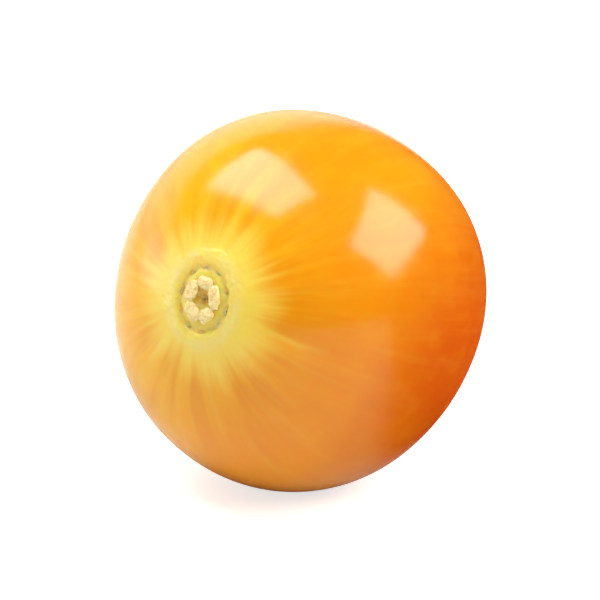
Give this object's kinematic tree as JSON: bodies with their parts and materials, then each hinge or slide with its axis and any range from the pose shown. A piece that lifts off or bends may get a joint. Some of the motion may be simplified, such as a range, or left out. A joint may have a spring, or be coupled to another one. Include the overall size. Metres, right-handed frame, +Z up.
{
  "type": "physalis berry",
  "caption": "Ripe husked physalis berry, a small glossy orange-yellow fruit resting on its side with its pale corky calyx scar facing forwards.",
  "frame": {"origin": "under the middle of the berry's box, on the surface that it rests on", "axes": "+Z up; the calyx scar faces -Y and about 17 degrees upwards, the style scar faces +Y; +X to the right seen from the scar"},
  "size_m": [0.0192, 0.0178, 0.019],
  "materials": {
    "berry_skin": "smooth waxy fruit skin, orange-yellow, glossy"
  },
  "bodies": {
    "root": {"berry": "berry_skin"}
  },
  "joints": []
}
